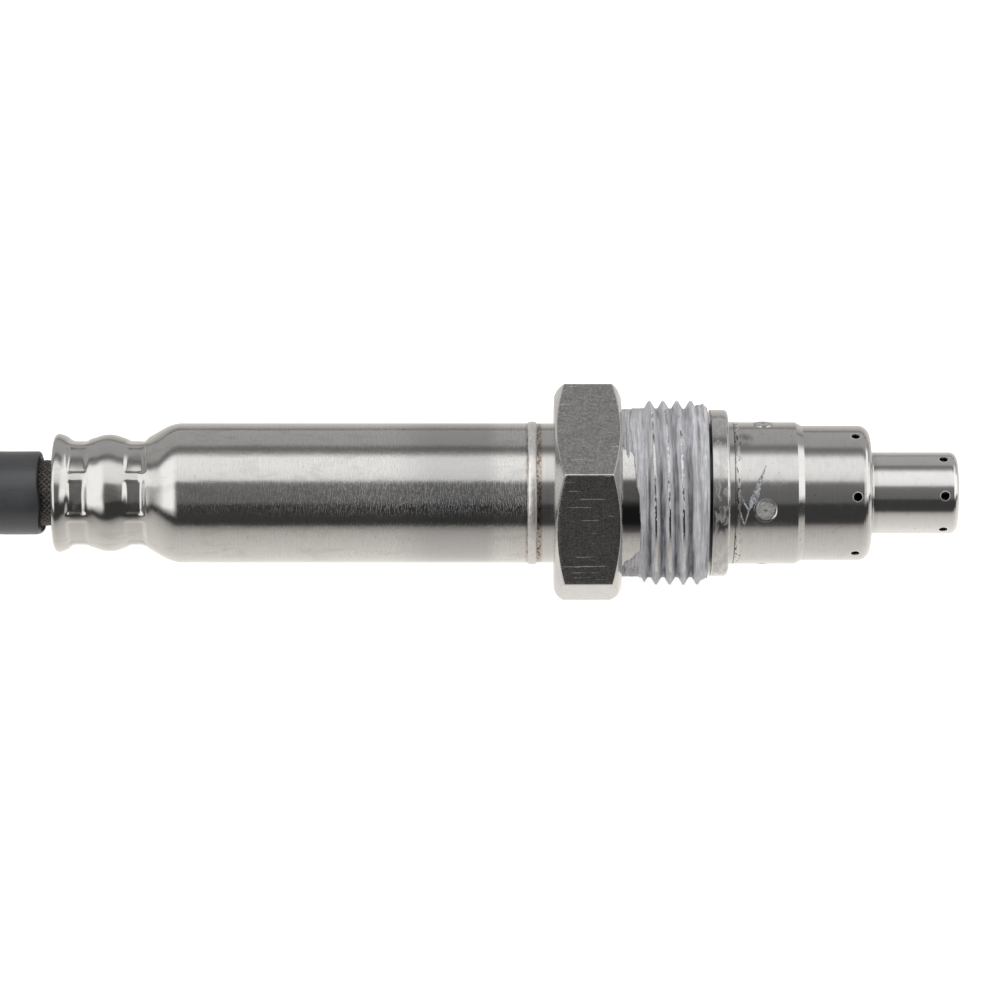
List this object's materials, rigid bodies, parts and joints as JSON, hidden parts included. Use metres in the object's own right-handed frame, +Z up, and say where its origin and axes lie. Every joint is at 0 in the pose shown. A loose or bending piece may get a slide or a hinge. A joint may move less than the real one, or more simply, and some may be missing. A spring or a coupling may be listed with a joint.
{
  "type": "nitrogen oxide sensor",
  "caption": "Stainless exhaust gas probe with a turning union nut, crimped rear sleeve, stepped protective cap with gas holes, and a black sleeved lead tied in a hank.",
  "frame": {"origin": "on the probe's axis at the middle of the mounting thread", "axes": "+X along the probe's axis towards its gas tip, +Z up; the probe lies on a flat of its hexagon"},
  "size_m": [0.3529, 0.0668, 0.022],
  "materials": {
    "nut_steel": "turned and milled, with mounting paste",
    "housing_steel": "turned",
    "sleeve_steel": "brushed around, polished at the crimps",
    "cap_steel": "deep-drawn, satin",
    "cover_steel": "deep-drawn",
    "inner_steel": "plain",
    "element_ceramic": "fired",
    "support_ceramic": "fired",
    "talc": "pressed powder",
    "terminal_metal": "plated",
    "wire_skin": "smooth",
    "grommet_rubber": "matt",
    "braid": "woven glass fibre",
    "lead_sleeve": "satin black",
    "tie_nylon": "satin",
    "boot_rubber": "matt",
    "plug_plastic": "moulded",
    "seal_rubber": "matt",
    "contact_metal": "plated"
  },
  "bodies": {
    "probe": {"housing": "housing_steel", "rear_sleeve": "sleeve_steel", "protective_cap": "cap_steel", "inner_cover_tube": "cover_steel", "inner_cover_cup": "cover_steel", "sensor_element": "element_ceramic", "inner_cylinder": "inner_steel", "front_support": "support_ceramic", "middle_support": "support_ceramic", "rear_support": "support_ceramic", "front_talc": "talc", "rear_talc": "talc", "press_ring": "inner_steel", "upper_contact_block": "support_ceramic", "lower_contact_block": "support_ceramic", "clip_ring": "inner_steel", "contact_terminals": "terminal_metal", "lead_wires": "wire_skin", "grommet": "grommet_rubber", "braid_sleeve": "braid", "lead": "lead_sleeve", "lead_hank": "lead_sleeve", "lead_tail": "lead_sleeve", "hank_tie": "tie_nylon", "plug_boot": "boot_rubber", "plug_body": "plug_plastic", "plug_seal": "seal_rubber", "plug_contacts": "contact_metal"},
    "nut": {"union_nut": "nut_steel"}
  },
  "joints": [
    {"name": "nut_turn", "type": "hinge", "parent": "probe", "child": "nut", "pos_m": [0, 0, 0], "axis": [1, 0, 0], "continuous": true}
  ]
}
